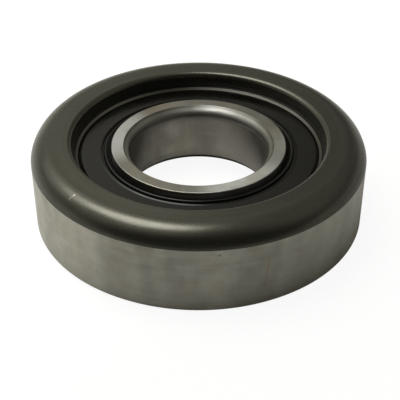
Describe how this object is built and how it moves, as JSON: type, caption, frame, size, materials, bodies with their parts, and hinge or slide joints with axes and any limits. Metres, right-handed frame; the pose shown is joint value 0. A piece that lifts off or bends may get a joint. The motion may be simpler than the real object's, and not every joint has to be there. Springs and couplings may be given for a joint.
{
  "type": "mast roller bearing",
  "caption": "Sealed roller bearing for a lift mast: thick blackened outer ring with a rounded shoulder and ground tread, rubber seals and a narrower ground inner ring.",
  "frame": {"origin": "On the bearing's axis, in the plane of the outer ring's flat foot face, on which it stands", "axes": "+Z is the bearing's axis, from the foot face to the rounded shoulder; +X is to the right and +Y away from the picture's camera"},
  "size_m": [0.108, 0.108, 0.028],
  "materials": {
    "blackened_steel": "turned, blackened and oiled; the tread is ground bright",
    "ground_steel": "ground",
    "seal_rubber": "moulded satin black",
    "pressed_steel": "pressed strip",
    "rivet_steel": "headed",
    "ball_steel": "lapped"
  },
  "bodies": {
    "outer": {"outer_ring": "blackened_steel", "upper_seal": "seal_rubber", "lower_seal": "seal_rubber"},
    "inner": {"inner_ring": "ground_steel"},
    "cage": {"cage_upper_half": "pressed_steel", "cage_lower_half": "pressed_steel", "cage_rivets": "rivet_steel"},
    "ball_1": {"ball_1": "ball_steel"},
    "ball_2": {"ball_2": "ball_steel"},
    "ball_3": {"ball_3": "ball_steel"},
    "ball_4": {"ball_4": "ball_steel"},
    "ball_5": {"ball_5": "ball_steel"},
    "ball_6": {"ball_6": "ball_steel"},
    "ball_7": {"ball_7": "ball_steel"},
    "ball_8": {"ball_8": "ball_steel"},
    "ball_9": {"ball_9": "ball_steel"}
  },
  "joints": [
    {"name": "inner_spin", "type": "hinge", "parent": "outer", "child": "inner", "pos_m": [0, 0, 0.014], "axis": [0, 0, 1], "continuous": true},
    {"name": "cage_spin", "type": "hinge", "parent": "outer", "child": "cage", "pos_m": [0, 0, 0.014], "axis": [0, 0, 1], "continuous": true},
    {"name": "ball_1_spin", "type": "hinge", "parent": "cage", "child": "ball_1", "pos_m": [0.033, 0, 0.014], "axis": [0, 0, 1], "continuous": true},
    {"name": "ball_2_spin", "type": "hinge", "parent": "cage", "child": "ball_2", "pos_m": [0.02528, 0.02121, 0.014], "axis": [0, 0, 1], "continuous": true},
    {"name": "ball_3_spin", "type": "hinge", "parent": "cage", "child": "ball_3", "pos_m": [0.00573, 0.0325, 0.014], "axis": [0, 0, 1], "continuous": true},
    {"name": "ball_4_spin", "type": "hinge", "parent": "cage", "child": "ball_4", "pos_m": [-0.0165, 0.02858, 0.014], "axis": [0, 0, 1], "continuous": true},
    {"name": "ball_5_spin", "type": "hinge", "parent": "cage", "child": "ball_5", "pos_m": [-0.03101, 0.01129, 0.014], "axis": [0, 0, 1], "continuous": true},
    {"name": "ball_6_spin", "type": "hinge", "parent": "cage", "child": "ball_6", "pos_m": [-0.03101, -0.01129, 0.014], "axis": [0, 0, 1], "continuous": true},
    {"name": "ball_7_spin", "type": "hinge", "parent": "cage", "child": "ball_7", "pos_m": [-0.0165, -0.02858, 0.014], "axis": [0, 0, 1], "continuous": true},
    {"name": "ball_8_spin", "type": "hinge", "parent": "cage", "child": "ball_8", "pos_m": [0.00573, -0.0325, 0.014], "axis": [0, 0, 1], "continuous": true},
    {"name": "ball_9_spin", "type": "hinge", "parent": "cage", "child": "ball_9", "pos_m": [0.02528, -0.02121, 0.014], "axis": [0, 0, 1], "continuous": true}
  ],
  "couplings": [
    {"joint": "cage_spin", "follows": "inner_spin", "ratio": 0.40379},
    {"joint": "ball_1_spin", "follows": "inner_spin", "ratio": -2.5022},
    {"joint": "ball_2_spin", "follows": "inner_spin", "ratio": -2.5022},
    {"joint": "ball_3_spin", "follows": "inner_spin", "ratio": -2.5022},
    {"joint": "ball_4_spin", "follows": "inner_spin", "ratio": -2.5022},
    {"joint": "ball_5_spin", "follows": "inner_spin", "ratio": -2.5022},
    {"joint": "ball_6_spin", "follows": "inner_spin", "ratio": -2.5022},
    {"joint": "ball_7_spin", "follows": "inner_spin", "ratio": -2.5022},
    {"joint": "ball_8_spin", "follows": "inner_spin", "ratio": -2.5022},
    {"joint": "ball_9_spin", "follows": "inner_spin", "ratio": -2.5022}
  ]
}
